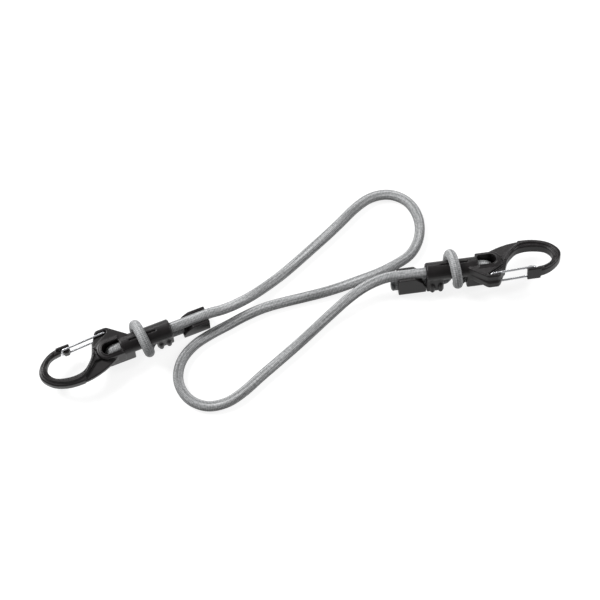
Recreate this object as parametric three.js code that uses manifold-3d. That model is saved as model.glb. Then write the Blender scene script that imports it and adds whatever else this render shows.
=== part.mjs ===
// Adjustable bungee: one elastic cord with a moulded carabiner hook at each end.
// Millimetres, +Z up off the floor, +X from the left hook to the right hook.
import * as THREE from 'three';
import { mergeVertices } from 'three/addons/utils/BufferGeometryUtils.js';
import Module from 'manifold-3d';

const wasm = await Module();
wasm.setup();

// Driving sizes
const cordRadius = 3;
const sheathWall = 0.75;
const coreClearance = 0.35;
const straightEnough = THREE.MathUtils.degToRad(9);
const clearance = 0.3;
const overrun = 2;
const smallEdge = 0.3;

// The two bores that the cord runs through, one behind the other
const boreRadius = cordRadius + clearance;
const barrelWall = 2.3;
const boreWeb = 1.6;
const lobeWall = 1.9;
const backWall = 1.4;
const barrelRadius = boreRadius + barrelWall;
const tailDepth = 2 * boreRadius + boreWeb;
const lobeHalfWidth = boreRadius + lobeWall;
const boreFloor = -tailDepth - boreRadius;
const backFace = boreFloor - backWall;
const backCorner = 2.6;
const endRounding = 0.6;
const leadLength = 2;
const leadFlare = 0.6;
const leadLip = 0.05;

// The collar, the neck that the cord is wound round, and the head
const collarLength = 10;
const neckLength = 13.5;
const headLength = 21;
const headStart = collarLength + neckLength;
const headEnd = headStart + headLength;
const headWall = 2.6;
const headHalfWidth = boreRadius + headWall;
const headFront = 4.9;
const headRounding = 1;
const heelRounding = 2;
const ringRadius = barrelRadius + cordRadius + clearance;
const ringSlant = 4.4;

// The window, where the cord turns back
const windowLength = 10.6;
const windowNoseWall = 3.3;
const windowEnd = headEnd - windowNoseWall;
const windowStart = windowEnd - windowLength;
const windowRimWidth = 0.9;
const windowRimHeight = 0.5;

// The carabiner frame
const noseReach = 79.2;
const noseBar = 5;
const eyeReach = noseReach - noseBar;
const frameLength = noseReach - headEnd;
const spineSide = 12.6;
const spineBar = 5.4;
const eyeSpineSide = spineSide - spineBar;
const gateSide = 11.4;
const tipWidth = 3.4;
const frameHalfThickness = 3;
const frameRounding = 0.9;
const webHalfThickness = 1.5;
const ridgeHeight = 0.9;
const ridgeWidth = 1.3;

// The fin that carries the gate
const pivotSide = 10.2;
const pivotBack = 8.3;
const pivotPlace = headEnd - pivotBack;
const finMargin = 2.6;
const finSide = pivotSide + finMargin;
const finHalfThickness = 4.6;
const finRounding = 0.5;
const finStep = 1;
const gateSwing = 25;
const swingMargin = 3;

// The wire gate, and the room that it needs
const wireRadius = 0.65;
const wireBend = 1.5;
const pinReach = 1.6;
const wireGap = wireRadius + clearance;
const legPlace = frameHalfThickness + wireGap;

// The tip that the gate closes on
const notchShare = 0.522;
const notchPlace = headEnd + notchShare * frameLength;
const barbLength = 5;
const barbSide = 6.9;
const gateTipSide = 8.9;
const tipStart = notchPlace - barbLength;
const frameTip = notchPlace + wireGap;
const barbEnd = notchPlace - wireGap;
const stripInner = -gateTipSide - wireGap;

// Finger ribs on both sides of the collar
const ribRadius = 1.5;
const ribTop = -4.4;
const ribLift = 1.2;
const ribFoot = backFace + ribLift;
const ribPlaceShares = [0.32, 0.8];
const ribProfileShares = [[0, 0], [0.7, 0], [1, 0.12], [1, 0.62], [0.75, 0.84], [0, 1]];

// The clip that pinches the tail and rides on the cord above it
const clipLength = 16;
const clipGrip = 10;
const clipWall = 1.8;
const clipTop = 0.6;
const clipHalfWidth = boreRadius + clipWall;
const tipCapLength = 2.2;

// Outlines of the frame: the first share runs along the frame, the second across it
const outerShares = [[0.662, -0.97], [0.797, -0.8], [0.919, -0.5], [0.983, -0.2], [1, 0.1],
  [0.951, 0.4], [0.827, 0.72], [0.637, 0.93], [0.424, 1], [0.207, 0.97], [-0.009, 0.83],
  [-0.182, 0.64], [-0.331, 0.44]];
const eyeShares = [[0.02, -1.077], [0.06, -0.57], [0.118, 0], [0.202, 0.42], [0.323, 0.84],
  [0.471, 1], [0.657, 0.98], [0.859, 0.76], [0.963, 0.38], [1, -0.12], [0.95, -0.62], [0.838, -0.98]];
const sailShares = [[-0.375, 0.609], [-0.043, 0.29], [0.063, 0.29], [0.161, 0.524], [0.3, 0.82],
  [0.386, 1.2], [0, 1.6], [-0.548, 1.2]];
const ridgeShares = [[0.046, -0.055], [0.127, 0.24], [0.231, 0.55], [0.346, 0.75], [0.49, 0.8],
  [0.637, 0.73], [0.81, 0.5], [0.914, 0.18], [0.916, -0.16], [0.827, -0.56], [0.664, -0.8]];

// Where the two hooks lie, and where each has its ring of cord, its clip and the end of its tail
const leftMouth = { x: -75.3, y: 5.4, height: 12.9 };
const leftTurn = 202;
const leftRoll = 0;
const leftLay = { ringPlace: 17.6, clipPlace: 6.3, tailReach: 19.3 };
const rightMouth = { x: 71.5, y: 39, height: 13.55 };
const rightTurn = 7.9;
const rightRoll = -18;
const rightLay = { ringPlace: 16, clipPlace: 0.4, tailReach: 18.1 };
const straightRun = 23;

// The cord's free route from the left mouth to the right mouth
const freeRoute = [
  [-46.3, 17.1, 10.6], [-38.6, 21.1, 8.5], [-29.6, 27.1, 6], [-20.3, 34.4, 3.9], [-11.1, 42, 3.1],
  [-2.4, 50, 3], [6.2, 58.2, 3], [14.8, 66.4, 3], [23.1, 74.9, 3], [31.4, 83.6, 3], [40.7, 90.3, 3],
  [51.9, 92.3, 3], [62.5, 87.7, 3], [68.6, 77.5, 3], [68.9, 65.4, 3], [63.7, 54.6, 3],
  [54.3, 47.7, 3], [44, 42.3, 3], [33.1, 38, 3], [22.4, 33.9, 3], [11.3, 30.3, 3], [0.1, 27.3, 3],
  [-11.2, 24.4, 3], [-22.2, 21, 3], [-32.8, 16.1, 3], [-43, 10.3, 3], [-53.2, 4.5, 3],
  [-62.6, -2.4, 3], [-69.4, -12, 3], [-70.7, -23.6, 3], [-64.9, -33.9, 3], [-54.2, -38.5, 3],
  [-42.9, -36.3, 3], [-33.1, -29.7, 3], [-24.4, -21.5, 3], [-15.6, -13.5, 3], [-6.8, -5.5, 3],
  [1.8, 2.6, 3], [10.3, 10.8, 3.2], [18.6, 18.4, 4.6], [27, 25.3, 7.2], [37, 31.6, 10.6],
];

// A mesh turned into a solid, and back
const toSolid = (geometry) => {
  const plain = geometry.index ? geometry.toNonIndexed() : geometry.clone();
  plain.deleteAttribute('normal');
  plain.deleteAttribute('uv');
  const merged = mergeVertices(plain, 1e-4);
  return new wasm.Manifold(new wasm.Mesh({
    numProp: 3,
    vertProperties: new Float32Array(merged.attributes.position.array),
    triVerts: new Uint32Array(merged.index.array),
  }));
};

const toGeometry = (solid) => {
  const mesh = solid.getMesh();
  const geometry = new THREE.BufferGeometry();
  geometry.setAttribute('position', new THREE.BufferAttribute(new Float32Array(mesh.vertProperties), 3));
  geometry.setIndex(new THREE.BufferAttribute(new Uint32Array(mesh.triVerts), 1));
  geometry.computeVertexNormals();
  return geometry;
};

const union = (solids) => solids.reduce((whole, solid) => whole.add(solid));

// A flat outline in the hook's plane, drawn up from one height to another
const plate = (outline, low, high, rounding = 0, steps = 1) => {
  const geometry = new THREE.ExtrudeGeometry(new THREE.Shape(outline), {
    depth: high - low - 2 * rounding,
    bevelEnabled: rounding > 0,
    bevelThickness: rounding,
    bevelSize: rounding,
    bevelOffset: -rounding,
    bevelSegments: steps,
  });
  geometry.translate(0, 0, low + rounding);
  return toSolid(geometry);
};

// A rod along the hook, from one place to another
const rod = (radius, from, to, depth = 0, sides = 24) => {
  const corners = [[0, from], [radius, from], [radius, to], [0, to]];
  const points = corners.map(([r, along]) => new THREE.Vector2(r, along));
  const geometry = new THREE.LatheGeometry(points, sides);
  geometry.rotateX(Math.PI / 2);
  geometry.rotateY(Math.PI / 2);
  geometry.translate(0, 0, -depth);
  return toSolid(geometry);
};

const post = (radius, x, y, low, high, sides = 20) => {
  const geometry = new THREE.CylinderGeometry(radius, radius, high - low, sides);
  geometry.rotateX(Math.PI / 2);
  geometry.translate(x, y, (low + high) / 2);
  return toSolid(geometry);
};

const block = (from, to) => {
  const size = to.map((v, i) => v - from[i]);
  const geometry = new THREE.BoxGeometry(...size);
  geometry.translate(...to.map((v, i) => (v + from[i]) / 2));
  return toSolid(geometry);
};

const points2 = (list) => list.map(([x, y]) => new THREE.Vector2(x, y));

const smoothLine = (list, steps) => {
  const curve = new THREE.SplineCurve(points2(list));
  return curve.getPoints(steps);
};

// A place on the frame from its shares along and across
const framePlace = ([along, across]) => [headEnd + along * frameLength,
  across * (across > 0 ? spineSide : gateSide)];

// The frame's outer edge, from the tip round the nose to the barrel
const outerLine = () => smoothLine([[frameTip, -gateSide], ...outerShares.map(framePlace)], 36);

// The edge of the eye, from the foot of the fin round to the tip
const eyeLine = () => smoothLine([
  ...eyeShares.map(([along, across]) => [headEnd + along * (eyeReach - headEnd), across * eyeSpineSide]),
  [frameTip, -gateSide + tipWidth]], 32);

const cShape = () => [...outerLine(),
  ...points2([[headStart, 0.3 * spineSide], [headStart, -0.1 * gateSide],
    [headEnd - windowNoseWall, -0.66 * gateSide]]), ...eyeLine()];

// A raised line of even width
const stripAlong = (line, width) => {
  const side = (sign) => line.map((point, i) => {
    const before = line[Math.max(i - 1, 0)];
    const after = line[Math.min(i + 1, line.length - 1)];
    const along = after.clone().sub(before).normalize();
    return new THREE.Vector2(point.x - sign * along.y * width / 2, point.y + sign * along.x * width / 2);
  });
  return [...side(1), ...side(-1).reverse()];
};

const finShape = (grow) => points2([
  [headStart + finStep, -0.85 * barrelRadius],
  [pivotPlace - 0.9 * finMargin, -finSide + 0.2 * finMargin - grow],
  [pivotPlace - 0.4 * finMargin, -finSide - grow], [headEnd - 1.6 * finMargin, -finSide - grow],
  [headEnd - 1.1 * finMargin, -finSide + 0.27 * finMargin - 0.6 * grow],
  [headEnd - 0.15 * finMargin, -0.74 * gateSide], [headEnd + 0.46 * finMargin, -0.42 * gateSide],
  [headEnd - 0.4 * finMargin, 0], [headStart + finMargin, 0]]);

// The pocket on each face of the fin, in which a leg of the gate swings
const swingPocket = () => {
  const restAngle = Math.atan2(pivotSide - gateTipSide, notchPlace - pivotPlace);
  const reach = headEnd - pivotPlace + 4 * overrun;
  const ray = (angle, sign) => [
    [pivotPlace - sign * Math.sin(angle) * wireGap, -pivotSide + sign * Math.cos(angle) * wireGap],
    [pivotPlace + Math.cos(angle) * reach - sign * Math.sin(angle) * wireGap,
      -pivotSide + Math.sin(angle) * reach + sign * Math.cos(angle) * wireGap]];
  const open = restAngle + THREE.MathUtils.degToRad(gateSwing + swingMargin);
  const [lowNear, lowFar] = ray(restAngle, -1);
  const [highNear, highFar] = ray(open, 1);
  return points2([lowNear, lowFar, highFar, highNear, [pivotPlace - wireGap, -pivotSide]]);
};

// A shape drawn in the hook's x and z, with its thickness across the hook
const slab = (outline, low, high, rounding = 0) =>
  plate(outline, low, high, rounding).rotate([90, 0, 0]).mirror([0, 1, 0]);

// A section drawn in the hook's y and z, drawn out along the hook
const bar = (section, from, to, rounding = 0) => plate(section, from, to, rounding, 2).rotate([90, 0, 90]);

// A section with straight sides and soft back corners, and a round or flat front
const section = (half, front) => {
  const shape = new THREE.Shape();
  shape.moveTo(half, front);
  if (front === 0) shape.absarc(0, 0, half, 0, Math.PI, false);
  else shape.lineTo(-half, front);
  shape.lineTo(-half, backFace + backCorner);
  shape.quadraticCurveTo(-half, backFace, -half + backCorner, backFace);
  shape.lineTo(half - backCorner, backFace);
  shape.quadraticCurveTo(half, backFace, half, backFace + backCorner);
  return shape.getPoints(7);
};

const stadium = (from, to, half) => {
  const shape = new THREE.Shape();
  shape.moveTo(from, -half);
  shape.lineTo(to - half, -half);
  shape.absarc(to - half, 0, half, -Math.PI / 2, Math.PI / 2, false);
  shape.lineTo(from, half);
  return shape.getPoints(7);
};

// A half-round rib that fades out toward the front
const rib = (share, side) => {
  const points = ribProfileShares.map(([r, h]) => new THREE.Vector2(r * ribRadius, h * (ribTop - ribFoot)));
  const geometry = new THREE.LatheGeometry(points, 14);
  geometry.rotateX(Math.PI / 2);
  geometry.translate(share * collarLength, side * lobeHalfWidth, ribFoot);
  return toSolid(geometry);
};

const ribs = () => ribPlaceShares.flatMap((share) => [-1, 1].map((side) => rib(share, side)));

// A cone that widens a bore at its mouth
const leadIn = (mouth, inward, depth) => {
  const wide = boreRadius + leadFlare;
  const radii = inward > 0 ? [wide, boreRadius] : [boreRadius, wide];
  const geometry = new THREE.CylinderGeometry(...radii, leadLength + leadLip, 24);
  geometry.rotateZ(Math.PI / 2);
  geometry.translate(mouth + inward * (leadLength - leadLip) / 2, 0, -depth);
  return toSolid(geometry);
};

const carabiner = () => {
  const frame = plate(cShape(), -frameHalfThickness, frameHalfThickness, frameRounding, 3);
  const cut = points2(sailShares.map(framePlace));
  const sail = [plate(cut, webHalfThickness, 2 * frameHalfThickness),
    plate(cut, -2 * frameHalfThickness, -webHalfThickness)];
  const ridge = plate(stripAlong(smoothLine(ridgeShares.map(framePlace), 26), ridgeWidth),
    -frameHalfThickness - ridgeHeight, frameHalfThickness + ridgeHeight, smallEdge);
  const strip = plate(points2([[tipStart, -gateSide], [frameTip + 2 * wireGap, -gateSide],
    [frameTip + 2 * wireGap, stripInner], [tipStart, stripInner]]),
  -finHalfThickness, finHalfThickness, smallEdge);
  const barb = plate(points2([[tipStart + smallEdge, stripInner - 2 * smallEdge],
    [barbEnd, stripInner - 2 * smallEdge], [barbEnd, -barbSide - smallEdge],
    [barbEnd - wireGap, -barbSide], [tipStart + 4 * smallEdge, -barbSide],
    [tipStart + smallEdge, -barbSide - 4 * smallEdge]]),
  -frameHalfThickness, frameHalfThickness, smallEdge);
  return union([frame.subtract(union(sail)), ridge, strip, barb]);
};

const head = () => union([
  bar(section(barrelRadius, 0), headStart, windowStart, endRounding),
  plate(stadium(windowStart - headRounding, headEnd, headHalfWidth), -tailDepth, headFront, headRounding, 2),
  plate(stadium(windowStart - 2 * heelRounding, headEnd - endRounding, barrelRadius), backFace, 0,
    heelRounding, 2),
  plate(stadium(windowStart, windowEnd + windowRimWidth, boreRadius + windowRimWidth), 0,
    headFront + windowRimHeight, smallEdge)]);

const collar = () => union([
  bar(section(lobeHalfWidth, 0), 0, collarLength, endRounding),
  rod(barrelRadius - endRounding, 0, headStart + overrun),
  rod(barrelRadius, endRounding, headStart + overrun), ...ribs()]);

const hookSolid = () => {
  const fin = [plate(finShape(0), -finHalfThickness, finHalfThickness, finRounding),
    plate(finShape(finStep), -finHalfThickness, 0, finRounding)];
  const shell = union([carabiner(), head(), collar(), ...fin]);
  const turnRoom = slab(points2([[windowStart, 2 * headFront], [windowEnd, 2 * headFront],
    [windowEnd, -tailDepth + 0.3 * boreRadius], [windowEnd - 0.5 * boreRadius, -tailDepth - 0.55 * boreRadius],
    [windowEnd - 1.2 * boreRadius, boreFloor], [windowStart, boreFloor]]), -boreRadius, boreRadius);
  const windowShape = plate(stadium(windowStart, windowEnd, boreRadius), backFace, 3 * headFront);
  const pockets = [[frameHalfThickness, 2 * finHalfThickness], [-2 * finHalfThickness, -frameHalfThickness]]
    .map(([low, high]) => plate(swingPocket(), low, high));
  const cuts = union([turnRoom.intersect(windowShape), ...pockets,
    rod(boreRadius, -overrun, windowStart + overrun),
    rod(boreRadius, -overrun, collarLength + overrun, tailDepth),
    rod(boreRadius, headStart - overrun, windowStart + overrun, tailDepth),
    leadIn(0, 1, 0), leadIn(0, 1, tailDepth), leadIn(collarLength, -1, tailDepth),
    leadIn(headStart, 1, tailDepth),
    post(wireGap, pivotPlace, -pivotSide, -2 * finHalfThickness, 2 * finHalfThickness, 16)]);
  return shell.subtract(cuts);
};

// The clip runs back from its own zero, which lies clipPlace behind the mouth
const clipSolid = () => {
  const side = slab(points2([[-clipLength, backFace], [-clipLength, clipTop - endRounding],
    [-clipLength + endRounding, clipTop], [clipGrip - clipLength, clipTop],
    [0.4 * (clipGrip - clipLength), -0.35 * tailDepth], [-endRounding, -0.8 * tailDepth],
    [0, -0.9 * tailDepth], [0, backFace]]), -clipHalfWidth, clipHalfWidth);
  const body = bar(section(clipHalfWidth, clipTop), -clipLength, 0, smallEdge);
  const cuts = [rod(boreRadius, -clipLength - overrun, overrun), rod(boreRadius, -clipLength - overrun,
    overrun, tailDepth), block([-clipLength - overrun, -boreRadius, 0], [overrun, boreRadius, overrun])];
  return side.intersect(body).subtract(union(cuts));
};

// A tube along a line of points, with rings that turn as little as they can
const sweep = (line, radius, sides, bore = 0) => {
  const rings = [];
  const first = line[1].clone().sub(line[0]).normalize();
  let across = Math.abs(first.z) > 0.9 ? new THREE.Vector3(1, 0, 0) : new THREE.Vector3(0, 0, 1);
  line.forEach((point, i) => {
    const along = line[Math.min(i + 1, line.length - 1)].clone().sub(line[Math.max(i - 1, 0)]).normalize();
    across = across.clone().addScaledVector(along, -across.dot(along)).normalize();
    rings.push({ point, across, third: along.clone().cross(across) });
  });
  const positions = [];
  const faces = [];
  const skin = (size) => {
    const start = positions.length / 3;
    rings.forEach(({ point, across: a, third: b }) => {
      for (let k = 0; k < sides; k += 1) {
        const turn = 2 * Math.PI * k / sides;
        const spot = point.clone().addScaledVector(a, size * Math.cos(turn))
          .addScaledVector(b, size * Math.sin(turn));
        positions.push(spot.x, spot.y, spot.z);
      }
    });
    return start;
  };
  const quad = (a, b, c, d) => faces.push(a, b, c, a, c, d);
  const wall = (start, flip) => {
    for (let i = 0; i < line.length - 1; i += 1) {
      for (let k = 0; k < sides; k += 1) {
        const a = start + i * sides + k;
        const b = start + i * sides + (k + 1) % sides;
        if (flip) quad(a, a + sides, b + sides, b);
        else quad(a, b, b + sides, a + sides);
      }
    }
  };
  const outer = skin(radius);
  wall(outer, false);
  const last = (line.length - 1) * sides;
  if (bore > 0) {
    const inner = skin(bore);
    wall(inner, true);
    for (let k = 0; k < sides; k += 1) {
      const n = (k + 1) % sides;
      quad(outer + n, outer + k, inner + k, inner + n);
      quad(outer + last + k, outer + last + n, inner + last + n, inner + last + k);
    }
  } else {
    for (let k = 1; k < sides - 1; k += 1) {
      faces.push(outer, outer + k + 1, outer + k);
      faces.push(outer + last, outer + last + k, outer + last + k + 1);
    }
  }
  const geometry = new THREE.BufferGeometry();
  geometry.setAttribute('position', new THREE.Float32BufferAttribute(positions, 3));
  geometry.setIndex(faces);
  geometry.computeVertexNormals();
  return geometry;
};

// A line of corners joined by round bends
const bent = (corners, radius, steps) => {
  const line = [corners[0]];
  for (let i = 1; i < corners.length - 1; i += 1) {
    const back = corners[i - 1].clone().sub(corners[i]).normalize();
    const on = corners[i + 1].clone().sub(corners[i]).normalize();
    const start = corners[i].clone().addScaledVector(back, radius);
    const end = corners[i].clone().addScaledVector(on, radius);
    for (let k = 0; k <= steps; k += 1) {
      line.push(new THREE.QuadraticBezierCurve3(start, corners[i], end).getPoint(k / steps));
    }
  }
  line.push(corners[corners.length - 1]);
  return line;
};

const gateGeometry = () => {
  const v = (x, y, z) => new THREE.Vector3(x, y, z);
  const line = bent([
    v(pivotPlace, -pivotSide, pinReach), v(pivotPlace, -pivotSide, legPlace),
    v(notchPlace, -gateTipSide, legPlace), v(notchPlace, -gateTipSide, -legPlace),
    v(pivotPlace, -pivotSide, -legPlace), v(pivotPlace, -pivotSide, -pinReach)], wireBend, 3);
  return sweep(line, wireRadius, 8);
};

// Where the cord runs in a hook, from its cut end to the mouth
const hookRun = ({ ringPlace, tailReach }) => {
  const run = [-tailReach, -0.6 * tailReach, -0.25 * tailReach, 0.3 * collarLength,
    0.9 * collarLength].map((x) => [x, 0, -tailDepth]);
  run.push([collarLength + overrun, clearance, -ringRadius]);
  const turns = 10;
  const startAngle = THREE.MathUtils.degToRad(-62);
  const sweepAngle = THREE.MathUtils.degToRad(304);
  for (let k = 0; k <= turns; k += 1) {
    const angle = startAngle + sweepAngle * k / turns;
    run.push([ringPlace + ringSlant * (k / turns - 0.5), ringRadius * Math.cos(angle),
      ringRadius * Math.sin(angle)]);
  }
  run.push([headStart - overrun, -clearance, -ringRadius], [headStart + cordRadius / 2, 0, -tailDepth],
    [windowStart - overrun, 0, -tailDepth]);
  const turnRadius = tailDepth / 2;
  const turnPlace = windowEnd - 2 * clearance - cordRadius - turnRadius;
  for (let k = 0; k <= 4; k += 1) {
    const angle = Math.PI * (k / 4 - 0.5);
    run.push([turnPlace + turnRadius * Math.cos(angle), 0, -turnRadius + turnRadius * Math.sin(angle)]);
  }
  [0.75, 0.5, 0.25, 0].forEach((share) => run.push([share * windowStart, 0, 0]));
  [0.5, 1].forEach((share) => run.push([-share * straightRun, 0, 0]));
  return run.map((place) => new THREE.Vector3(...place));
};

const placed = (mouth, turn, roll) => {
  const matrix = new THREE.Matrix4().makeRotationZ(THREE.MathUtils.degToRad(turn));
  matrix.multiply(new THREE.Matrix4().makeRotationX(THREE.MathUtils.degToRad(roll)));
  matrix.setPosition(mouth.x, mouth.y, mouth.height);
  return matrix;
};

const cordLine = () => {
  const left = hookRun(leftLay).map((p) => p.applyMatrix4(placed(leftMouth, leftTurn, leftRoll)));
  const right = hookRun(rightLay).map((p) => p.applyMatrix4(placed(rightMouth, rightTurn, rightRoll)));
  const free = freeRoute.map((p) => new THREE.Vector3(...p));
  const knots = [...left, ...free, ...right.reverse()];
  const curve = new THREE.CatmullRomCurve3(knots, false, 'centripetal');
  const line = [];
  const bendAt = (i) => (i < 1 || i > knots.length - 2 ? 0
    : knots[i].clone().sub(knots[i - 1]).angleTo(knots[i + 1].clone().sub(knots[i])));
  for (let i = 0; i < knots.length - 1; i += 1) {
    const steps = Math.max(bendAt(i), bendAt(i + 1)) > straightEnough ? 2 : 1;
    for (let k = 0; k < steps; k += 1) line.push(curve.getPoint((i + k / steps) / (knots.length - 1)));
  }
  line.push(knots[knots.length - 1]);
  return line;
};

const length = (line) => line.slice(1).reduce((sum, p, i) => sum + p.distanceTo(line[i]), 0);

// The least gap between stretches of the cord that aren't neighbours along it
const leastGap = (line) => {
  const along = [0];
  line.slice(1).forEach((p, i) => along.push(along[i] + p.distanceTo(line[i])));
  let least = Infinity;
  line.forEach((a, i) => line.forEach((b, j) => {
    if (along[j] - along[i] > 4 * cordRadius) least = Math.min(least, a.distanceTo(b));
  }));
  return least - 2 * cordRadius;
};

// The heat-sealed tip that closes each end of the cord
const sealedTip = (end, before) => {
  const profile = [[0, 0], [cordRadius * 1.03, 0], [cordRadius * 1.06, 0.35 * tipCapLength],
    [cordRadius * 0.86, 0.75 * tipCapLength], [cordRadius * 0.45, 0.96 * tipCapLength], [0, tipCapLength]];
  const geometry = new THREE.LatheGeometry(profile.map(([r, h]) => new THREE.Vector2(r, h)), 12);
  const out = end.clone().sub(before).normalize();
  geometry.applyQuaternion(new THREE.Quaternion().setFromUnitVectors(new THREE.Vector3(0, 1, 0), out));
  const base = end.clone().addScaledVector(out, clearance);
  geometry.translate(base.x, base.y, base.z);
  return toGeometry(toSolid(geometry));
};

const nylon = new THREE.MeshStandardMaterial({ color: 0x2b2b2d, roughness: 0.5 });
const steel = new THREE.MeshStandardMaterial({ color: 0xc8c9cc, roughness: 0.25, metalness: 1 });
const braid = new THREE.MeshStandardMaterial({ color: 0x9a9b9d, roughness: 0.8 });
const rubber = new THREE.MeshStandardMaterial({ color: 0xd9d2c0, roughness: 0.7 });
const sealed = new THREE.MeshStandardMaterial({ color: 0x8d8e90, roughness: 0.35 });

const model = new THREE.Group();
const addMesh = (name, geometry, material, parent) => {
  const mesh = new THREE.Mesh(geometry, material);
  mesh.name = name;
  parent.add(mesh);
};

const hookGeometry = toGeometry(hookSolid());
const clipGeometry = toGeometry(clipSolid());
const hooks = [['left', placed(leftMouth, leftTurn, leftRoll), leftLay],
  ['right', placed(rightMouth, rightTurn, rightRoll), rightLay]];
for (const [side, matrix, lay] of hooks) {
  const group = new THREE.Group();
  group.applyMatrix4(matrix);
  addMesh(`${side}_hook`, hookGeometry, nylon, group);
  addMesh(`${side}_wire_gate`, gateGeometry(), steel, group);
  addMesh(`${side}_tail_clip`, clipGeometry.clone().translate(-lay.clipPlace, 0, 0), nylon, group);
  model.add(group);
}

const line = cordLine();
addMesh('cord_sheath', sweep(line, cordRadius, 8, cordRadius - sheathWall), braid, model);
addMesh('cord_rubber_core', sweep(line, cordRadius - sheathWall - coreClearance, 6), rubber, model);
addMesh('left_cord_tip', sealedTip(line[0], line[1]), sealed, model);
addMesh('right_cord_tip', sealedTip(line[line.length - 1], line[line.length - 2]), sealed, model);

// The origin is under the middle of the two hooks, on the floor
const hookBox = new THREE.Box3();
model.updateMatrixWorld(true);
model.traverse((part) => {
  if (part.name.includes('hook')) hookBox.expandByObject(part, true);
});
model.position.set(-(hookBox.min.x + hookBox.max.x) / 2, -(hookBox.min.y + hookBox.max.y) / 2, -hookBox.min.z);

console.log(`cord length ${length(line).toFixed(1)} mm, least gap to itself ${leastGap(line).toFixed(2)} mm`);

export default model;
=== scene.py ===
# %% [markdown]
# An adjustable bungee: one elastic cord with a moulded carabiner hook at each end.
# The solids of the hooks come in with the frame. This lesson gives them moulded edges,
# braids the cord, bends the wire gates and lights it all like a shop photograph.

# %% Load the frame
import math
import bmesh
import bpy
from mathutils import Matrix, Vector


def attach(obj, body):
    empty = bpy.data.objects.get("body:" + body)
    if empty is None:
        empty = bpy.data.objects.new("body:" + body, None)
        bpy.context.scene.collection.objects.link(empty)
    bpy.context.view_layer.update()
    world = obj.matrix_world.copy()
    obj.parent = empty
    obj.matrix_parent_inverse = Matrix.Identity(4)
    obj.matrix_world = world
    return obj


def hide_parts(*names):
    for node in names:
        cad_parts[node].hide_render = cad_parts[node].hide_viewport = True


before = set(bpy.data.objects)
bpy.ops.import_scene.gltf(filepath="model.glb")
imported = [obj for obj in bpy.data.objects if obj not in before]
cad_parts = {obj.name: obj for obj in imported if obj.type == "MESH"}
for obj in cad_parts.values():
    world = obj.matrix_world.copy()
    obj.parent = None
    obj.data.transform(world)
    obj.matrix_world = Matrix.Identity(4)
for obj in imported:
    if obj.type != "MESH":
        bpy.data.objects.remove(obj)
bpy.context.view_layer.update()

MM = 0.001
scene = bpy.context.scene
scene.view_settings.view_transform = "Standard"

# %% [markdown]
# The camera first. The photograph looks down at 70 degrees through a long lens, so near and
# far hook keep almost the same scale. A lens of 120 mm at a little over a metre does that.
# The distance is worked out from the width that the photograph takes in.

# %% Place the camera
photo_width = 349.5 * MM
look_at = Vector((-1.6 * MM, 12.4 * MM, 0))
camera_elevation = math.radians(70)
lens = 120
camera_data = bpy.data.cameras.new("photo_camera")
camera_data.lens = lens
camera_data.sensor_width = 36
distance = photo_width * lens / camera_data.sensor_width
toward_camera = Vector((0, -math.cos(camera_elevation), math.sin(camera_elevation)))
camera = bpy.data.objects.new("photo_camera", camera_data)
camera.location = look_at + distance * toward_camera
camera.rotation_euler = (math.pi / 2 - camera_elevation, 0, 0)
scene.collection.objects.link(camera)
scene.camera = camera
print("camera distance", round(distance, 3), "m")

# %% [markdown]
# The cord is one piece from cut end to cut end. In each hook it runs in along the barrel,
# turns back in the window, goes once round the neck and ends in a clip behind the collar.
# It could be simulated, but the photograph shows how it lies, so its route is a list of
# places instead. First come the sizes of the hook that the cord has to follow. tail_depth is
# how far the tail lies under the running cord, overrun how far the cord passes an edge
# before it turns, and straight_run how far it stays straight outside the mouth.

# %% Sizes of the hook that the cord follows
cord_radius = 3.0 * MM
clearance = 0.3 * MM
barrel_radius = 5.6 * MM
tail_depth = 8.2 * MM
collar_length = 10 * MM
neck_length = 13.5 * MM
head_start = collar_length + neck_length
window_start = 30.6 * MM
window_end = 41.2 * MM
overrun = 2 * MM
ring_radius = barrel_radius + cord_radius + clearance
ring_slant = 4.4 * MM
straight_run = 23 * MM
print("cord ring radius", round(ring_radius / MM, 2), "mm")

# %% [markdown]
# The two hooks lie differently: the left one flat, low and turned round, the right one
# rolled toward the viewer. Each gets a matrix that carries a place on the hook to its place
# in the frame, so that the cord, the slot and the gate are described only once. The frame's
# origin is on the floor, under the middle of the two hooks. The places were read off from
# another origin, and frame_shift moves them to it. They are in millimetres, and the turn
# and the roll are in degrees.

# %% Where the hooks lie
frame_shift = Vector((-0.5092, -14.6521, 0)) * MM


def hook_matrix(x, y, height, turn, roll):
    place = Matrix.Translation(Vector((x, y, height)) * MM + frame_shift)
    turned = Matrix.Rotation(math.radians(turn), 4, "Z")
    rolled = Matrix.Rotation(math.radians(roll), 4, "X")
    return place @ turned @ rolled


left_hook = hook_matrix(-75.3, 5.4, 12.9, 202, 0)
right_hook = hook_matrix(71.5, 39, 13.55, 7.9, -18)
print("straight from mouth to mouth", round((right_hook.translation - left_hook.translation).length, 4), "m")

# %% [markdown]
# Between the hooks the free cord lies on the floor in a flat S, as an elastic cord does when
# it is dropped slack. It rises from the floor only near the two mouths. These places were
# read off along its middle, about a centimetre apart, in millimetres.

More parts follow.
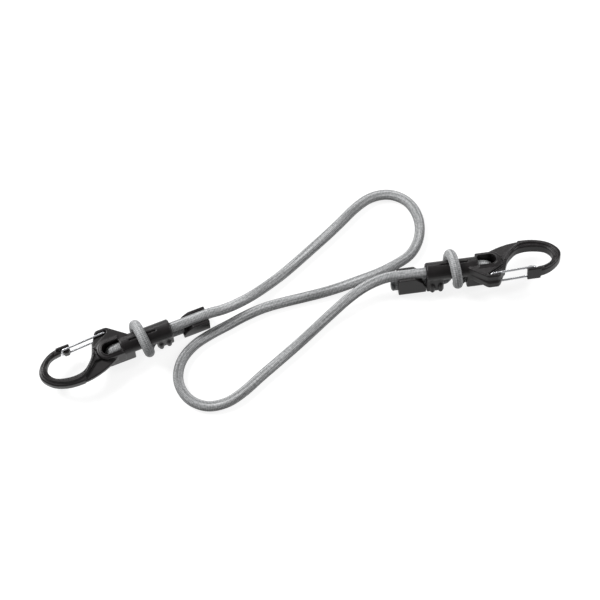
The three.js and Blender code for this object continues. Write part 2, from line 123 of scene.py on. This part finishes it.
# %% The free cord between the hooks
free_route = [
    (-46.3, 17.1, 10.6), (-38.6, 21.1, 8.5), (-29.6, 27.1, 6), (-20.3, 34.4, 3.9), (-11.1, 42, 3.1),
    (-2.4, 50, 3), (6.2, 58.2, 3), (14.8, 66.4, 3), (23.1, 74.9, 3), (31.4, 83.6, 3), (40.7, 90.3, 3),
    (51.9, 92.3, 3), (62.5, 87.7, 3), (68.6, 77.5, 3), (68.9, 65.4, 3), (63.7, 54.6, 3),
    (54.3, 47.7, 3), (44, 42.3, 3), (33.1, 38, 3), (22.4, 33.9, 3), (11.3, 30.3, 3), (0.1, 27.3, 3),
    (-11.2, 24.4, 3), (-22.2, 21, 3), (-32.8, 16.1, 3), (-43, 10.3, 3), (-53.2, 4.5, 3),
    (-62.6, -2.4, 3), (-69.4, -12, 3), (-70.7, -23.6, 3), (-64.9, -33.9, 3), (-54.2, -38.5, 3),
    (-42.9, -36.3, 3), (-33.1, -29.7, 3), (-24.4, -21.5, 3), (-15.6, -13.5, 3), (-6.8, -5.5, 3),
    (1.8, 2.6, 3), (10.3, 10.8, 3.2), (18.6, 18.4, 4.6), (27, 25.3, 7.2), (37, 31.6, 10.6),
]
print("places on the free cord", len(free_route))

# %% [markdown]
# Inside a hook the cord's way is written from the tail to the mouth: the tail under the
# collar, one ring round the neck, back under the barrel, a half turn in the window, and out
# along the barrel. It is worked out from the hook's sizes, not drawn by eye, because it has
# to stay inside the bores and clear of the nylon.

# %% The cord's way through a hook
ring_start_degrees = -62
ring_sweep_degrees = 304
ring_steps = 10
turn_steps = 4
turn_radius = tail_depth / 2
turn_place = window_end - 2 * clearance - cord_radius - turn_radius


def hook_run(ring_place, tail_reach):
    tail = [-tail_reach, -0.6 * tail_reach, -0.25 * tail_reach, 0.3 * collar_length, 0.9 * collar_length]
    run = [(x, 0, -tail_depth) for x in tail]
    run.append((collar_length + overrun, clearance, -ring_radius))
    for k in range(ring_steps + 1):
        angle = math.radians(ring_start_degrees + ring_sweep_degrees * k / ring_steps)
        slanted = ring_place + ring_slant * (k / ring_steps - 0.5)
        run.append((slanted, ring_radius * math.cos(angle), ring_radius * math.sin(angle)))
    run.append((head_start - overrun, -clearance, -ring_radius))
    run.append((head_start + cord_radius / 2, 0, -tail_depth))
    run.append((window_start - overrun, 0, -tail_depth))
    for k in range(turn_steps + 1):
        angle = math.pi * (k / turn_steps - 0.5)
        x = turn_place + turn_radius * math.cos(angle)
        run.append((x, 0, -turn_radius + turn_radius * math.sin(angle)))
    run += [(share * window_start, 0, 0) for share in (0.75, 0.5, 0.25, 0)]
    run += [(-share * straight_run, 0, 0) for share in (0.5, 1)]
    return [Vector(place) for place in run]


places = [left_hook @ place for place in hook_run(ring_place=17.6 * MM, tail_reach=19.3 * MM)]
places += [Vector(place) * MM + frame_shift for place in free_route]
places += [right_hook @ place for place in reversed(hook_run(ring_place=16 * MM, tail_reach=18.1 * MM))]
print("places on the whole cord", len(places))

# %% [markdown]
# A real cord bends in one smooth line. Blender's own NURBS curve could join the places, but
# it only passes near them. A centripetal curve goes through every one, and because the time
# for each step grows with the root of its length, it doesn't swing out where long steps
# meet short ones.

# %% One smooth curve through the places
curve_steps = 12


def centripetal(a, b, c, d, t):
    knots = [0.0]
    for start, end in ((a, b), (b, c), (c, d)):
        knots.append(knots[-1] + math.sqrt((end - start).length))
    t0, t1, t2, t3 = knots
    u = t1 + t * (t2 - t1)
    ab = a.lerp(b, (u - t0) / (t1 - t0))
    bc = b.lerp(c, (u - t1) / (t2 - t1))
    cd = c.lerp(d, (u - t2) / (t3 - t2))
    abc = ab.lerp(bc, (u - t0) / (t2 - t0))
    bcd = bc.lerp(cd, (u - t1) / (t3 - t1))
    return abc.lerp(bcd, (u - t1) / (t2 - t1))


def curve_through(places):
    ends = [2 * places[0] - places[1]] + places + [2 * places[-1] - places[-2]]
    fine = []
    for i in range(1, len(ends) - 2):
        for k in range(curve_steps):
            fine.append(centripetal(*ends[i - 1:i + 3], k / curve_steps))
    return fine + [places[-1]]


fine_route = curve_through(places)
print("points on the curve", len(fine_route))

# %% [markdown]
# The braid has to stay even along the whole cord, so the curve is walked in equal steps. A
# few relaxing passes then draw each point toward its two neighbours. They open the tightest
# turns, under the hooks, where the tube would otherwise fold into itself.

# %% Even steps along the curve
route_step = 1.25 * MM
relaxing_passes = 3


def even_route(fine):
    along = [0.0]
    for before, after in zip(fine, fine[1:]):
        along.append(along[-1] + (after - before).length)
    count = round(along[-1] / route_step)
    even = []
    i = 0
    for k in range(count + 1):
        wanted = along[-1] * k / count
        while i < len(along) - 2 and along[i + 1] < wanted:
            i += 1
        share = (wanted - along[i]) / (along[i + 1] - along[i])
        even.append(fine[i].lerp(fine[i + 1], min(max(share, 0), 1)))
    for _ in range(relaxing_passes):
        inner = [(a + 2 * b + c) / 4 for a, b, c in zip(even, even[1:], even[2:])]
        even = even[:1] + inner + even[-1:]
    return even, along[-1]


route, cord_length = even_route(fine_route)
print("cord length", round(cord_length, 4), "m in", len(route), "rings")

# %% [markdown]
# The sheath is the outside of the cord, a plain tube before it gets its braid. A bevelled
# curve would do, but it offers no hold on its twist. Here a ring is extruded from place to
# place, and each ring turns as little as it can, so the braid doesn't twist.

# %% A piece from a finished mesh
def finished(name, mesh, smooth=True):
    data = bpy.data.meshes.new(name)
    mesh.to_mesh(data)
    mesh.free()
    data.polygons.foreach_set("use_smooth", [smooth] * len(data.polygons))
    piece = bpy.data.objects.new(name, data)
    scene.collection.objects.link(piece)
    return piece


# %% A tube swept by extruding a ring
def next_ring(mesh, ring):
    loop = [mesh.edges.get(pair) for pair in zip(ring, ring[1:] + ring[:1])]
    made = bmesh.ops.extrude_edge_only(mesh, edges=loop)["geom"]
    fresh = {vert for vert in made if isinstance(vert, bmesh.types.BMVert)}
    return [next(edge.other_vert(old) for edge in old.link_edges
                 if edge.other_vert(old) in fresh) for old in ring]


def swept_rings(mesh, line, radius, sides):
    ring = bmesh.ops.create_circle(mesh, segments=sides, radius=radius, cap_ends=False)["verts"]
    first = (line[1] - line[0]).normalized()
    across = Vector((1, 0, 0)) if abs(first.z) > 0.9 else Vector((0, 0, 1))
    flat = [vert.co.copy() for vert in ring]
    rings = []
    for i, place in enumerate(line):
        along = (line[min(i + 1, len(line) - 1)] - line[max(i - 1, 0)]).normalized()
        across = (across - along * across.dot(along)).normalized()
        third = along.cross(across)
        if i > 0:
            ring = next_ring(mesh, ring)
        for vert, spot in zip(ring, flat):
            vert.co = place + across * spot.x + third * spot.y
        rings.append(ring)
    bmesh.ops.contextual_create(mesh, geom=rings[0])
    bmesh.ops.contextual_create(mesh, geom=rings[-1])
    bmesh.ops.recalc_face_normals(mesh, faces=mesh.faces)
    return rings


# %% [markdown]
# The braid follows the cord, so the sheath needs a UV map: U runs along the cord and V round
# it. Unwrapping by a seam would stretch it, but the rings already know their places, so the
# map is laid from them, in true millimetres. Where the last face of a ring meets the first,
# V runs on to the full girth and not back to nought.

# %% The map of the cord's surface
girth = 2 * math.pi * cord_radius / MM


def lay_cord_map(mesh, rings, step):
    sides = len(rings[0])
    layer = mesh.loops.layers.uv.new("cord")
    place_of = {vert: (i, k) for i, ring in enumerate(rings) for k, vert in enumerate(ring)}
    for face in mesh.faces:
        spots = [place_of[loop.vert] for loop in face.loops]
        wraps = max(k for _, k in spots) - min(k for _, k in spots) > sides / 2
        for loop, (i, k) in zip(face.loops, spots):
            turn = k + sides if wraps and k < sides / 2 else k
            loop[layer].uv = (i * step, turn / sides * girth)


# %% The sheath
sheath_sides = 20
sheath_mesh = bmesh.new()
sheath_rings = swept_rings(sheath_mesh, route, cord_radius, sheath_sides)
lay_cord_map(sheath_mesh, sheath_rings, cord_length / (len(route) - 1) / MM)
sheath = finished("braided_sheath", sheath_mesh)
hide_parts("cord_sheath")
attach(sheath, "root")
print("sheath faces", len(sheath.data.polygons), "and girth", round(girth, 2), "mm")

# %% [markdown]
# Each cut end of the cord is melted to a small smooth button, so that the braid can't fray.
# A squashed sphere would look like a bead. A cord's end that is pressed while it is hot has
# an upright rim and a low dome. That is a turned shape, so it is spun from its profile,
# which gives radius and height in millimetres.

# %% The sealed ends
button_profile = [
    (0, 0.3), (2.9, 0.3), (3.12, 0.6), (3.12, 1.1), (2.85, 1.7), (2.2, 2.15), (1.2, 2.4), (0, 2.45),
]
button_steps = 28
pole_distance = 0.01 * MM


def sealed_end(name, tip, before, node):
    mesh = bmesh.new()
    verts = [mesh.verts.new((radius * MM, 0, height * MM)) for radius, height in button_profile]
    edges = [mesh.edges.new(pair) for pair in zip(verts, verts[1:])]
    bmesh.ops.spin(mesh, geom=verts + edges, cent=(0, 0, 0), axis=(0, 0, 1), angle=2 * math.pi,
                   steps=button_steps, use_merge=True)
    bmesh.ops.remove_doubles(mesh, verts=mesh.verts, dist=pole_distance)
    bmesh.ops.recalc_face_normals(mesh, faces=mesh.faces)
    out = (tip - before).normalized()
    turn = Vector((0, 0, 1)).rotation_difference(out).to_matrix().to_4x4()
    bmesh.ops.transform(mesh, matrix=Matrix.Translation(tip) @ turn, verts=mesh.verts)
    piece = finished(name, mesh)
    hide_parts(node)
    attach(piece, "root")
    return piece


left_end = sealed_end("left_sealed_end", route[0], route[1], "left_cord_tip")
right_end = sealed_end("right_sealed_end", route[-1], route[-2], "right_cord_tip")
print("faces of each sealed end", len(left_end.data.polygons))

# %% [markdown]
# The sheath and its two sealed ends are one limp cord. Its diameter is printed here.

# %% The cord's diameter
print("cord diameter", round(2 * cord_radius / MM, 1), "mm")

# %% [markdown]
# A narrow slot runs along the top of each barrel, under the cord's ring, and shows as a dark
# line. Painting that line would do from afar, but a cut takes the light as the real one
# does. So a thin box is laid along the barrel, to be cut out of it.

# %% The slot along the barrel
slot_start = 8.7 * MM
slot_length = 16.2 * MM
slot_width = 0.85 * MM
slot_depth = 0.9 * MM


def slot_cutter(matrix):
    height = 2 * slot_depth
    middle = Vector((slot_start + slot_length / 2, 0, barrel_radius - slot_depth + height / 2))
    stretch = Matrix.Diagonal((slot_length, slot_width, height, 1))
    mesh = bmesh.new()
    bmesh.ops.create_cube(mesh, size=1, matrix=matrix @ Matrix.Translation(middle) @ stretch)
    return finished("slot_cutter", mesh, smooth=False)


print("slot", round(slot_length / MM, 1), "mm long and", round(slot_width / MM, 2), "mm wide")

# %% [markdown]
# The hooks and clips are injection moulded, so no edge on them is sharp. Bevelling every
# edge would break at the tight corners. Instead a copy of each solid is merged, the hooks
# are cut by their slots, and all are rebuilt in fine voxels. A little smoothing then rounds
# their edges alike, as the radius in a mould does.

# %% Moulded skins for the hooks
merge_distance = 0.002 * MM
hook_voxel = 0.29 * MM
hook_passes = 5
clip_voxel = 0.2 * MM
clip_passes = 4


def apply_modifiers(piece):
    graph = bpy.context.evaluated_depsgraph_get()
    baked = bpy.data.meshes.new_from_object(piece.evaluated_get(graph))
    piece.modifiers.clear()
    piece.data = baked


def moulded_skin(name, node, voxel, passes, cutter=None):
    mesh = bmesh.new()
    mesh.from_mesh(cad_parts[node].data)
    bmesh.ops.remove_doubles(mesh, verts=mesh.verts, dist=merge_distance)
    piece = finished(name, mesh)
    if cutter:
        cut = piece.modifiers.new("slot", "BOOLEAN")
        cut.operation = "DIFFERENCE"
        cut.solver = "EXACT"
        cut.object = cutter
    remesh = piece.modifiers.new("moulded", "REMESH")
    remesh.mode = "VOXEL"
    remesh.voxel_size = voxel
    remesh.use_smooth_shade = True
    soft = piece.modifiers.new("soft_edges", "CORRECTIVE_SMOOTH")
    soft.smooth_type = "LENGTH_WEIGHTED"
    soft.use_only_smooth = True
    soft.factor = 0.5
    soft.iterations = passes
    apply_modifiers(piece)
    if cutter:
        bpy.data.objects.remove(cutter, do_unlink=True)
    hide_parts(node)
    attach(piece, "root")
    return piece


# %% The four moulded pieces
hook_skins = []
for side, matrix in (("left", left_hook), ("right", right_hook)):
    cutter = slot_cutter(matrix)
    hook_skins.append(moulded_skin(f"{side}_moulded_hook", f"{side}_hook", hook_voxel, hook_passes, cutter))
    hook_skins.append(moulded_skin(f"{side}_moulded_clip", f"{side}_tail_clip", clip_voxel, clip_passes))
print("moulded faces", [len(skin.data.polygons) for skin in hook_skins])

# %% [markdown]
# Each gate is one bent wire: a pin in the fin, a leg, a crossbar behind the barb, the other
# leg and the other pin. Straight cylinders would meet in sharp corners, and a wire can't.
# So it is swept like the cord, along a line whose corners are rounded to the bend that a
# wire of this gauge takes.

# %% Round bends for a wire
wire_bend = 1.5 * MM
bend_steps = 8


def round_corners(corners):
    line = [corners[0]]
    for before, corner, after in zip(corners, corners[1:], corners[2:]):
        start = corner + (before - corner).normalized() * wire_bend
        end = corner + (after - corner).normalized() * wire_bend
        for k in range(bend_steps + 1):
            share = k / bend_steps
            line.append(start.lerp(corner, share).lerp(corner.lerp(end, share), share))
    return line + [corners[-1]]


# %% The wire gates
pivot = Vector((36.2, -10.2, 0)) * MM
gate_tip = Vector((62.61, -8.9, 0)) * MM
leg_offset = Vector((0, 0, 3.95)) * MM
pin_end = Vector((0, 0, 1.6)) * MM
wire_radius = 0.65 * MM
wire_sides = 16
wire_line = round_corners([pivot + pin_end, pivot + leg_offset, gate_tip + leg_offset,
                           gate_tip - leg_offset, pivot - leg_offset, pivot - pin_end])


def wire_gate(side, matrix):
    mesh = bmesh.new()
    swept_rings(mesh, [matrix @ place for place in wire_line], wire_radius, wire_sides)
    piece = finished(f"{side}_bent_wire", mesh)
    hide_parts(f"{side}_wire_gate")
    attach(piece, f"{side}_gate")
    return piece


gates = [wire_gate("left", left_hook), wire_gate("right", right_hook)]
print("faces of each gate", len(gates[0].data.polygons))

# %% [markdown]
# Now the materials. A material is a small tree of nodes. Wiring it by hand in the editor
# can't be repeated, so one function adds a node with its settings, links and colour stops.
# An input whose name has a space, or that shares its name, goes by its number, as i3.
# Another function turns a hex colour, as a paint chart gives it, to the linear values that
# the shader uses.

# %% Helpers for materials
def linear(hex_colour):
    values = [int(hex_colour[i:i + 2], 16) / 255 for i in (1, 3, 5)]
    return [v / 12.92 if v <= 0.04045 else ((v + 0.055) / 1.055) ** 2.4 for v in values] + [1]


def add_node(tree, kind, settings=None, stops=(), **inputs):
    node = tree.nodes.new(kind)
    for key, value in (settings or {}).items():
        setattr(node, key, value)
    for key, value in inputs.items():
        numbered = key[0] == "i" and key[1:].isdigit()
        socket = node.inputs[int(key[1:]) if numbered else key]
        if isinstance(value, bpy.types.NodeSocket):
            tree.links.new(value, socket)
        else:
            socket.default_value = value
    while stops and len(node.color_ramp.elements) < len(stops):
        node.color_ramp.elements.new(0.5)
    for k, (place, colour) in enumerate(stops):
        node.color_ramp.elements[k].position = place
        node.color_ramp.elements[k].color = linear(colour)
    return node


def new_material(name):
    material = bpy.data.materials.new(name)
    material.use_nodes = True
    tree = material.node_tree
    return material, tree, tree.nodes["Principled BSDF"]


print("black nylon is", [round(value, 4) for value in linear("#131112")[:3]], "in linear light")

# %% [markdown]
# The hooks and clips are black glass-filled nylon, injection moulded: near black with a soft
# satin sheen. Its fine spark-eroded grain breaks up the highlights, and the gloss drifts a
# little where the melt cooled unevenly. A flat black would look like a hole in the picture,
# so two noises make the grain and the drift. The grain is 0.35 mm, coarser than life, so
# that it shows.

# %% Moulded nylon
nylon_grain = 0.35 * MM
melt_flow = 9 * MM


def moulded_nylon():
    material, tree, shader = new_material("black_glass_filled_nylon")
    spots = add_node(tree, "ShaderNodeTexCoord").outputs["Object"]
    grain = add_node(tree, "ShaderNodeTexNoise", Vector=spots, Scale=1 / nylon_grain, Detail=2.0)
    flow = add_node(tree, "ShaderNodeTexNoise", Vector=spots, Scale=1 / melt_flow, Detail=3.0)
    colour = add_node(tree, "ShaderNodeValToRGB", i0=flow.outputs[0],
                      stops=[(0.3, "#131112"), (0.7, "#1C191A")])
    gloss = add_node(tree, "ShaderNodeMapRange", Value=flow.outputs[0], i3=0.32, i4=0.46)
    bump = add_node(tree, "ShaderNodeBump", Strength=0.12, Distance=0.05 * MM, Height=grain.outputs[0])
    tree.links.new(colour.outputs[0], shader.inputs["Base Color"])
    tree.links.new(gloss.outputs[0], shader.inputs["Roughness"])
    tree.links.new(bump.outputs[0], shader.inputs["Normal"])
    shader.inputs["Specular IOR Level"].default_value = 0.32
    return material


nylon = moulded_nylon()
print("nylon has", len(nylon.node_tree.nodes), "nodes and a grain of", round(nylon_grain / MM, 2), "mm")

# %% [markdown]
# The gates are drawn stainless wire. It leaves the die satin, and its tone drifts slowly
# along it. A mirror would be simpler, but on so thin a wire it breaks up into sparkles. A
# metal with some roughness, whose grey and gloss both follow one noise of 4 mm, keeps the
# even pale grey that the real wire has.

# %% Drawn steel wire
wire_drift = 4 * MM


def drawn_steel():
    material, tree, shader = new_material("drawn_stainless_wire")
    spots = add_node(tree, "ShaderNodeTexCoord").outputs["Object"]
    drift = add_node(tree, "ShaderNodeTexNoise", Vector=spots, Scale=1 / wire_drift, Detail=2.0)
    gloss = add_node(tree, "ShaderNodeMapRange", Value=drift.outputs[0], i3=0.3, i4=0.38)
    tint = add_node(tree, "ShaderNodeValToRGB", i0=drift.outputs[0],
                    stops=[(0.35, "#BDBEC1"), (0.65, "#CFD0D3")])
    tree.links.new(tint.outputs[0], shader.inputs["Base Color"])
    tree.links.new(gloss.outputs[0], shader.inputs["Roughness"])
    shader.inputs["Metallic"].default_value = 1
    return material


wire = drawn_steel()
print("wire has", len(wire.node_tree.nodes), "nodes and a drift of", round(wire_drift / MM, 1), "mm")

# %% [markdown]
# The sheath is braided from grey polyester yarn. Two sets of yarns wind round the cord the
# opposite way and cross. Modelling each yarn would cost millions of faces, so the braid is
# a pattern of waves on the cord's map. Sixteen waves go round the cord. Without its sign a
# wave has two crests, so the yarns lie 0.6 mm apart round the cord, about their real width.

# %% The yarns
waves_round = 16
wave_round = girth / waves_round
wave_along = 1.5 * wave_round
print("yarns lie", round(wave_round / 2, 2), "mm apart round the cord")

# %% [markdown]
# Each set of yarns is one slanting wave. Where the sets cross, their product lets one set
# lie over the other in turn. This is plain arithmetic, so its steps are a table. A row names
# its result, the operation and what goes in: a number, or the name of an earlier result. The
# numbers under one say how much each part counts. The relief also goes into the colour as
# painted shade: the crowns of the yarns lighter, the gaps between them darker.

# %% The braid's arithmetic
braid_steps = [
    ("turns", "MULTIPLY", "around", 2 * math.pi / wave_round),
    ("reach", "MULTIPLY", "along", 2 * math.pi / wave_along),
    ("right_handed", "ADD", "turns", "reach"),
    ("left_handed", "SUBTRACT", "turns", "reach"),
    ("one_way", "SINE", "right_handed"),
    ("other_way", "SINE", "left_handed"),
    ("weave", "MULTIPLY", "one_way", "other_way"),
    ("one_yarn", "ABSOLUTE", "one_way"),
    ("other_yarn", "ABSOLUTE", "other_way"),
    ("height", "MAXIMUM", "one_yarn", "other_yarn"),
    ("crown", "MULTIPLY", "height", 0.65),
    ("relief", "MULTIPLY_ADD", "weave", 0.35, "crown"),
    # Painted shade: the relief darkens the gaps between the yarns in the colour; the flecks are the yarn's
    # own.
    ("speckle", "MULTIPLY", "flecks", 0.35),
    ("shade", "MULTIPLY_ADD", "relief", 0.28, "speckle"),
    ("tone", "MULTIPLY_ADD", "streaks", 0.65, "shade"),
]
print("steps of the braid", len(braid_steps))

# %% [markdown]
# The grey of the yarn isn't even. Light streaks of fibre, about 30 mm long, run along the
# cord, and flecks of about a millimetre lie between them. A single noise would give blots.
# So there are two on the cord's map: for the streaks it is pulled out along the cord, for
# the flecks it stays as it is.

# %% Braided polyester
streak_pull = (0.03, 0.8, 0)


def braided_polyester():
    material, tree, shader = new_material("grey_braided_polyester")
    uv = add_node(tree, "ShaderNodeUVMap", {"uv_map": "cord"}).outputs[0]
    parts = add_node(tree, "ShaderNodeSeparateXYZ", i0=uv)
    drawn = add_node(tree, "ShaderNodeVectorMath", {"operation": "MULTIPLY"}, i0=uv, i1=streak_pull)
    streaks = add_node(tree, "ShaderNodeTexNoise", Vector=drawn.outputs[0], Scale=1.0, Detail=3.0)
    flecks = add_node(tree, "ShaderNodeTexNoise", Vector=uv, Scale=0.8, Detail=4.0)
    made = {"along": parts.outputs[0], "around": parts.outputs[1],
            "streaks": streaks.outputs[0], "flecks": flecks.outputs[0]}
    for name, operation, *terms in braid_steps:
        inputs = {f"i{n}": made.get(term, term) for n, term in enumerate(terms)}
        made[name] = add_node(tree, "ShaderNodeMath", {"operation": operation}, **inputs).outputs[0]
    # The colour holds the painted shade between the yarns, besides the yarn's real streaks and flecks.
    colour = add_node(tree, "ShaderNodeValToRGB", i0=made["tone"],
                      stops=[(0.4, "#484949"), (0.62, "#7C7D7E"), (0.82, "#C2C3C4")])
    bump = add_node(tree, "ShaderNodeBump", Strength=0.6, Distance=0.25 * MM, Height=made["relief"])
    tree.links.new(colour.outputs[0], shader.inputs["Base Color"])
    tree.links.new(bump.outputs[0], shader.inputs["Normal"])
    shader.inputs["Roughness"].default_value = 0.55
    return material


braid = braided_polyester()
print("braid has", len(braid.node_tree.nodes), "nodes")

# %% [markdown]
# Where the end of the cord was melted, the polyester has run together: smooth, a little
# glossy and darker than the yarn, with a faint swirl. The braid's material would show yarns
# that are no longer there, so the tip has its own, with one noise for tone and relief.

# %% Melted tip
melt_swirl = 1.4 * MM


def melted_polyester():
    material, tree, shader = new_material("heat_sealed_polyester")
    spots = add_node(tree, "ShaderNodeTexCoord").outputs["Object"]
    swirl = add_node(tree, "ShaderNodeTexNoise", Vector=spots, Scale=1 / melt_swirl, Detail=3.0)
    colour = add_node(tree, "ShaderNodeValToRGB", i0=swirl.outputs[0],
                      stops=[(0.35, "#4A4B4D"), (0.65, "#7B7D7F")])
    bump = add_node(tree, "ShaderNodeBump", Strength=0.3, Distance=0.15 * MM, Height=swirl.outputs[0])
    tree.links.new(colour.outputs[0], shader.inputs["Base Color"])
    tree.links.new(bump.outputs[0], shader.inputs["Normal"])
    shader.inputs["Roughness"].default_value = 0.25
    return material


tip = melted_polyester()
print("tip has", len(tip.node_tree.nodes), "nodes and a swirl of", round(melt_swirl / MM, 1), "mm")

# %% [markdown]
# Inside the sheath lies the core, a bundle of natural latex strands, matt and straw
# coloured. The sheath hides it, so modelling the strands would be work that nobody sees. A
# plain rubber with a mottle as wide as a strand is enough, should the sheath be taken off.

# %% Rubber core
strand_width = 1 * MM


def latex_rubber():
    material, tree, shader = new_material("natural_latex_strands")
    spots = add_node(tree, "ShaderNodeTexCoord").outputs["Object"]
    strands = add_node(tree, "ShaderNodeTexNoise", Vector=spots, Scale=1 / strand_width, Detail=2.0)
    colour = add_node(tree, "ShaderNodeValToRGB", i0=strands.outputs[0],
                      stops=[(0.3, "#C9BD9F"), (0.7, "#DDD4BD")])
    tree.links.new(colour.outputs[0], shader.inputs["Base Color"])
    shader.inputs["Roughness"].default_value = 0.7
    return material


rubber = latex_rubber()
print("rubber has", len(rubber.node_tree.nodes), "nodes and strands of", round(strand_width / MM, 1), "mm")

# %% [markdown]
# Each piece gets the finish of what it is made of. The core is shown as its solid, so the
# finishes go to the solids of the frame as well, and a solid that is shown bare looks right.

# %% Give out the materials
def give(material, *pieces):
    for piece in pieces:
        piece.data.materials.clear()
        piece.data.materials.append(material)


give(nylon, *hook_skins)
give(wire, *gates)
give(braid, sheath)
give(tip, left_end, right_end)
solid_finishes = {
    "left_hook": nylon, "right_hook": nylon, "left_tail_clip": nylon, "right_tail_clip": nylon,
    "left_wire_gate": wire, "right_wire_gate": wire, "cord_sheath": braid,
    "cord_rubber_core": rubber, "left_cord_tip": tip, "right_cord_tip": tip,
}
for node, material in solid_finishes.items():
    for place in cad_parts[node].material_slots:
        place.material = material
print("solids with a finish", len(solid_finishes))

# %% [markdown]
# The studio floor is white paper. To show white by its lamps alone, it would need so much
# light that the black nylon would turn grey. So the paper is a plain grey that takes the
# shadow, and it glows, but only where the camera, a gloss or a clear piece sees it. To all
# else it stays grey.

# %% The floor
floor_reach = 2.5
floor_glow = 0.845


def studio_floor():
    mesh = bmesh.new()
    bmesh.ops.create_grid(mesh, x_segments=1, y_segments=1, size=floor_reach)
    floor = finished("studio_floor", mesh, smooth=False)
    material, tree, shader = new_material("white_paper")
    shader.inputs["Base Color"].default_value = linear("#808080")
    shader.inputs["Roughness"].default_value = 0.9
    path = add_node(tree, "ShaderNodeLightPath")
    seen = add_node(tree, "ShaderNodeMath", {"operation": "MAXIMUM"},
                    i0=path.outputs["Is Camera Ray"], i1=path.outputs["Is Glossy Ray"])
    shown = add_node(tree, "ShaderNodeMath", {"operation": "MAXIMUM"},
                     i0=seen.outputs[0], i1=path.outputs["Is Transmission Ray"])
    glow = add_node(tree, "ShaderNodeMath", {"operation": "MULTIPLY"}, i0=shown.outputs[0], i1=floor_glow)
    shader.inputs["Emission Color"].default_value = (1, 1, 1, 1)
    tree.links.new(glow.outputs[0], shader.inputs["Emission Strength"])
    give(material, floor)


studio_floor()
print("floor", 2 * floor_reach, "m wide")

# %% [markdown]
# A small black object needs long soft highlights to show its form. One big lamp nearly
# overhead would mirror in the flat faces of the left hook and turn them grey. So a softbox
# stands high on the left, a narrow strip on the right draws a line along the hooks, and one
# behind lifts the far edges. All three point at the origin.

# %% The lamps
lamps = [
    ("key_softbox", (-0.85, 0.4, 0.95), (0.5, 0.4), 19),
    ("right_strip", (0.95, 0.3, 0.75), (0.18, 0.8), 7),
    ("back_strip", (-0.25, 1.1, 0.6), (0.9, 0.18), 5),
]
for name, place, size, power in lamps:
    data = bpy.data.lights.new(name, "AREA")
    data.shape = "RECTANGLE"
    data.size, data.size_y = size
    data.energy = power
    light = bpy.data.objects.new(name, data)
    light.location = place
    light.rotation_euler = (-Vector(place)).to_track_quat("-Z", "Y").to_euler()
    scene.collection.objects.link(light)
    print(name, power, "W at", round(Vector(place).length, 2), "m")

# %% [markdown]
# In a studio the walls send back some of the light, and the shadows aren't black. Walls could
# be modelled, but a plain white world at a quarter of its strength does the same from all
# sides.

# %% The white world
world_strength = 0.25
world = bpy.data.worlds.new("studio_world")
world.use_nodes = True
background = world.node_tree.nodes["Background"]
background.inputs["Color"].default_value = (1, 1, 1, 1)
background.inputs["Strength"].default_value = world_strength
scene.world = world
print("world strength", world_strength)
